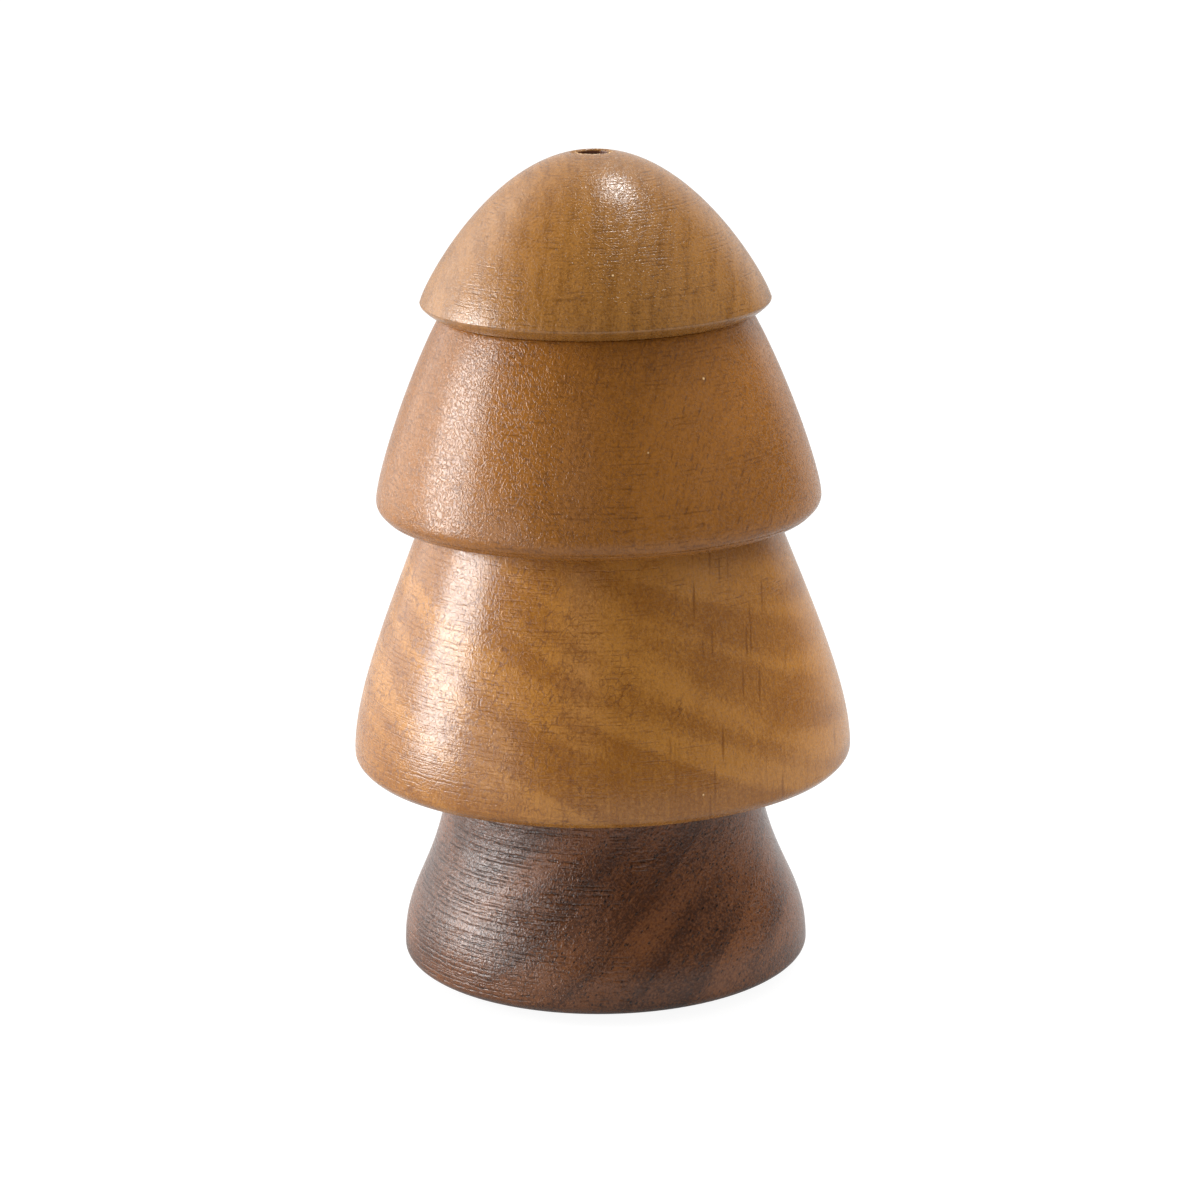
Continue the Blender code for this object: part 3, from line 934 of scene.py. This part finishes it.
class TREE_OT_lower_tier(bpy.types.Operator):
    """Turns the lower tier with its two sockets"""
    bl_idname = "toothpick_tree.lower_tier"
    bl_label = "Lower Tier"

    def execute(self, context):
        tree = context.scene.toothpick_tree
        sizes, fits = tree.lower_tier, tree.fits
        plug_top = sizes.foot + COLLAR_REACH + SEAM_GAP
        bare = [
            (PLUG_SOCKET_RADIUS + TENON_LEAD, sizes.foot), (PLUG_SOCKET_RADIUS, sizes.foot + TENON_LEAD),
            (PLUG_SOCKET_RADIUS, plug_top), (CHAMBER_RADIUS, plug_top)
        ]
        bare += socket(fits.middle_tenon_radius + SEAM_GAP, MIDDLE_LOW.z - 2 * SEAM_GAP, sizes.top)
        stretches = [(OILED, side(sizes, SHOULDER_EASE) + rolled_rim(sizes)), (BARE, bare)]
        material = timber("amber_beech", tree, tree.soft.bare_beech)
        turned_piece("lower_skirt", stretches, True, material, "crown", "lower_tier")
        return {'FINISHED'}


class TREE_OT_trunk(bpy.types.Operator):
    """Turns the trunk with its cup, its seat for the collar and its recess for the pad"""
    bl_idname = "toothpick_tree.trunk"
    bl_label = "Trunk"

    def execute(self, context):
        tree = context.scene.toothpick_tree
        sizes, fits = tree.trunk, tree.fits
        seat_radius = COLLAR_HIGH.x + SEAM_GAP
        seat_floor = COLLAR_LOW.z - SEAM_GAP
        recess_radius = PAD_HIGH.x + SEAM_GAP
        recess_roof = PAD_HIGH.z + SEAM_GAP
        cup = [(seat_radius, sizes.top), (seat_radius, seat_floor), (CHAMBER_RADIUS, seat_floor)]
        for step in range(SECTION_STEPS // 4 + 1):
            turn = FULL_TURN * step / SECTION_STEPS
            cup.append((
                CHAMBER_RADIUS - fits.cup_fillet * (1 - math.cos(turn)),
                fits.cup_floor + fits.cup_fillet * (1 - math.sin(turn)),
            ))
        cup.append((0.0, fits.cup_floor))
        recess = [(recess_radius, sizes.foot), (recess_radius, recess_roof), (0.0, recess_roof)]
        skin = side(sizes, SHOULDER_EASE) + rolled_rim(sizes)
        stretches = [(BARE, recess[::-1]), (OILED, skin[::-1]), (BARE, cup)]
        material = timber("walnut", tree, tree.soft.bare_walnut)
        turned_piece("trunk", stretches, False, material, "base", "trunk_base")
        return {'FINISHED'}


class TREE_OT_plug_collar(bpy.types.Operator):
    """Turns the grooved collar that plugs the crown"""
    bl_idname = "toothpick_tree.plug_collar"
    bl_label = "Plug Collar"

    def execute(self, context):
        tree = context.scene.toothpick_tree
        fits = tree.fits
        radius, foot, top = COLLAR_HIGH.x, COLLAR_LOW.z, COLLAR_HIGH.z
        groove_top = RING_HIGH.z + SEAM_GAP
        groove_foot = RING_LOW.z - SEAM_GAP
        profile = [
            (radius - TENON_LEAD, top), (radius, top - TENON_LEAD), (radius, groove_top),
            (fits.groove_radius, groove_top), (fits.groove_radius, groove_foot), (radius, groove_foot),
            (radius, foot + TENON_LEAD), (radius - TENON_LEAD, foot), (CHAMBER_RADIUS, foot),
            (CHAMBER_RADIUS, top - fits.collar_mouth), (CHAMBER_RADIUS + fits.collar_mouth, top)
        ]
        material = timber("bare_beech", tree, tree.soft.bare_beech)
        turned_piece("collar", [(BARE, profile)], True, material, "base", "plug_collar")
        return {'FINISHED'}


class TREE_OT_grip_ring(bpy.types.Operator):
    """Moulds the soft ring in the collar's groove, with its mould line"""
    bl_idname = "toothpick_tree.grip_ring"
    bl_label = "Grip Ring"

    def execute(self, context):
        tree = context.scene.toothpick_tree
        section = RING_SECTION / 2
        middle = RING_HIGH.x - section
        shape = bmesh.new()
        core = section - tree.fits.mould_line
        bmesh.ops.create_circle(shape, cap_ends=False, segments=SECTION_STEPS, radius=core)
        seams = {vert for vert in shape.verts if abs(vert.co.y) < MERGE_DISTANCE}
        for vert in seams:
            vert.co.x *= section / abs(vert.co.x)
        upright = Matrix.Translation((middle, 0, RING_LEVEL)) @ Matrix.Rotation(math.pi / 2, 4, 'X')
        bmesh.ops.transform(shape, matrix=upright, verts=shape.verts)
        spin_round(shape)
        hand_over("soft_ring", shape, silicone(tree.soft), "seal", "grip_ring")
        return {'FINISHED'}


class TREE_OT_foot_pad(bpy.types.Operator):
    """Cuts the cork pad under the trunk"""
    bl_idname = "toothpick_tree.foot_pad"
    bl_label = "Foot Pad"

    def execute(self, context):
        tree = context.scene.toothpick_tree
        ease = tree.fits.pad_ease
        radius, foot, top = PAD_HIGH.x, PAD_LOW.z, PAD_HIGH.z
        profile = [(0.0, top), (radius - ease, top), (radius, top - ease), (radius, foot + ease)]
        profile += [(radius - ease, foot), (0.0, foot)]
        turned_piece("cork_disc", [(OILED, profile)], False, cork(tree.soft), "base", "foot_pad")
        return {'FINISHED'}


# The lamps round the object, with the setting that holds each one's level. Azimuth, elevation and tilt are
# degrees, and distance, width and height metres.
SoftBox = namedtuple("SoftBox", "level azimuth elevation distance width height tilt", defaults=(0.0,))
SOFT_BOXES = {
    "side_box": SoftBox("side_level", -87, 13.5, 0.62, 0.28, 0.38, 26),
    "sill_box": SoftBox("sill_level", -52, 6, 0.62, 0.3, 0.2),
    "wing_box": SoftBox("wing_level", -124, 21, 0.62, 0.42, 0.58),
    "top_box": SoftBox("top_level", 138, 71, 0.8, 0.17, 0.17),
    "front_panel": SoftBox("front_level", -12, 24, 0.9, 0.24, 0.3),
}

# Watts for each square metre of a lamp whose level is one
LAMP_POWER = 4

FLOOR_RADIUS = 6.0
FLOOR_STEPS = 96
FLOOR_GREY = 0.42
FLOOR_SHADOW = 0.14
FLOOR_GLOW = 0.92
FLOOR_MIRRORED = 0.12
LOOK_ASIDE = -0.00005
SENSOR_WIDTH = 36.0


def aim(thing, place, target, tilt=0.0):
    """Stands a lamp or camera at a place and points it at the target."""
    facing = (Vector(target) - Vector(place)).to_track_quat('-Z', 'Y').to_matrix().to_4x4()
    thing.matrix_world = Matrix.Translation(place) @ facing @ Matrix.Rotation(tilt, 4, 'Z')


def direction(azimuth, elevation):
    """A unit vector from the object. Azimuth 0 points to the camera's side and grows to the right."""
    return Vector((
        math.sin(azimuth) * math.cos(elevation), -math.cos(azimuth) * math.cos(elevation), math.sin(elevation)
    ))


def soft_box(name, box, level, target):
    """A rectangular lamp of a given brightness, aimed at the object."""
    data = bpy.data.lights.new(name, 'AREA')
    data.shape = 'RECTANGLE'
    data.size = box.width
    data.size_y = box.height
    data.energy = level * box.width * box.height * LAMP_POWER
    way = direction(math.radians(box.azimuth), math.radians(box.elevation))
    aim(add_object(name, data), target + way * box.distance, target, math.radians(box.tilt))


def white_room(studio):
    """A white room to the camera and behind the object, dimmer on the camera's side."""
    world = bpy.data.worlds.new("white_room")
    bpy.context.scene.world = world
    world.use_nodes = True
    wire = Wiring(world.node_tree)
    x, y = wire.split(wire.node("TexCoord", {})["Generated"])[:2]
    lit_side = wire.smooth(wire.stacked(y, (x, 0.8)), -0.5, 0.5)
    soft = wire.stacked(studio.room_level, (lit_side, studio.far_level - studio.room_level))
    mirrored_side = wire.smooth(wire.stacked(y, (x, -0.35)), 0.2, 0.58)
    dim = studio.room_level * studio.room_sheen
    mirrored = wire.stacked(dim, (mirrored_side, studio.backdrop_level - dim))
    path = wire.node("LightPath", {})
    sharp = wire.math('MAXIMUM', path["Is Glossy Ray"], path["Is Transmission Ray"])
    room = wire.blend(sharp, soft, mirrored)
    strength = wire.blend(path["Is Camera Ray"], room, 1.0)
    background = world.node_tree.nodes["Background"]
    background.inputs["Color"].default_value = grey(1.0)
    wire.feed(background.inputs["Strength"], strength)


def floor_paint():
    """White paint that a lens sees as a white ground with the object's soft shadow on it."""
    material = bpy.data.materials.new("floor_paint")
    material.use_nodes = True
    nodes = material.node_tree.nodes
    nodes.clear()
    wire = Wiring(material.node_tree)
    ground = wire.node("BsdfDiffuse", {"Color": grey(FLOOR_GREY)})[0]
    shaded = wire.node("BsdfDiffuse", {"Color": grey(FLOOR_SHADOW)})[0]
    glow = wire.node("Emission", {"Color": grey(1.0), "Strength": FLOOR_GLOW})[0]
    bright = wire.node("AddShader", {0: shaded, 1: glow})[0]
    path = wire.node("LightPath", {})
    mirrored = wire.times(path["Is Glossy Ray"], FLOOR_MIRRORED)
    seen = wire.math('MAXIMUM', path["Is Camera Ray"], mirrored)
    seen = wire.math('MAXIMUM', seen, path["Is Transmission Ray"])
    both = wire.node("MixShader", {0: seen, 1: ground, 2: bright})[0]
    wire.node("OutputMaterial", {"Surface": both})
    return material


class TREE_OT_stage(bpy.types.Operator):
    """Lays the pale floor, hangs the soft boxes and stands the camera"""
    bl_idname = "toothpick_tree.stage"
    bl_label = "Stage"

    def execute(self, context):
        studio = context.scene.toothpick_tree.studio
        target = Vector((LOOK_ASIDE, 0.0, studio.look_height))

        shape = bmesh.new()
        bmesh.ops.create_circle(shape, cap_ends=True, segments=FLOOR_STEPS, radius=FLOOR_RADIUS)
        floor = add_shape("floor", shape, floor_paint())

        for name, box in SOFT_BOXES.items():
            soft_box(name, box, getattr(studio, box.level), target)
        white_room(studio)

        lens = bpy.data.cameras.new("camera")
        lens.lens = studio.focal_length
        lens.sensor_width = SENSOR_WIDTH
        camera = add_object("camera", lens)
        aim(camera, target + direction(0.0, studio.elevation) * studio.distance, target, studio.tilt)
        context.scene.camera = camera
        context.scene.view_settings.view_transform = 'Standard'
        return {'FINISHED'}


OPERATORS = (
    TREE_OT_top_tier, TREE_OT_middle_tier, TREE_OT_lower_tier, TREE_OT_trunk, TREE_OT_plug_collar,
    TREE_OT_grip_ring, TREE_OT_foot_pad, TREE_OT_stage
)


class TREE_PT_sidebar(bpy.types.Panel):
    """Lists the steps and each main timber's pale and dark colours and gloss"""
    bl_idname = "TREE_PT_sidebar"
    bl_label = "Toothpick Tree"
    bl_space_type = 'VIEW_3D'
    bl_region_type = 'UI'
    bl_category = "Toothpick Tree"

    def draw(self, context):
        tree = context.scene.toothpick_tree
        for step in OPERATORS:
            self.layout.operator(step.bl_idname)
        for group in (tree.golden_beech, tree.brown_beech, tree.amber_beech, tree.walnut):
            row = self.layout.row()
            row.prop(group, "pale")
            row.prop(group, "dark")
            self.layout.prop(group, "gloss")


CLASSES = (
    TopTierSizes, MiddleTierSizes, LowerTierSizes, TrunkSizes, FitSizes, GoldenBeech, BrownBeech, AmberBeech,
    Walnut, BareBeech, SoftFinishes, StudioSettings, TreeSettings, *OPERATORS, TREE_PT_sidebar
)


def register():
    for each in CLASSES:
        bpy.utils.register_class(each)
    bpy.types.Scene.toothpick_tree = PointerProperty(type=TreeSettings)


def unregister():
    del bpy.types.Scene.toothpick_tree
    for each in reversed(CLASSES):
        bpy.utils.unregister_class(each)


def main():
    register()
    for step in OPERATORS:
        group, name = step.bl_idname.split(".")
        getattr(getattr(bpy.ops, group), name)()


if __name__ == "__main__":
    main()
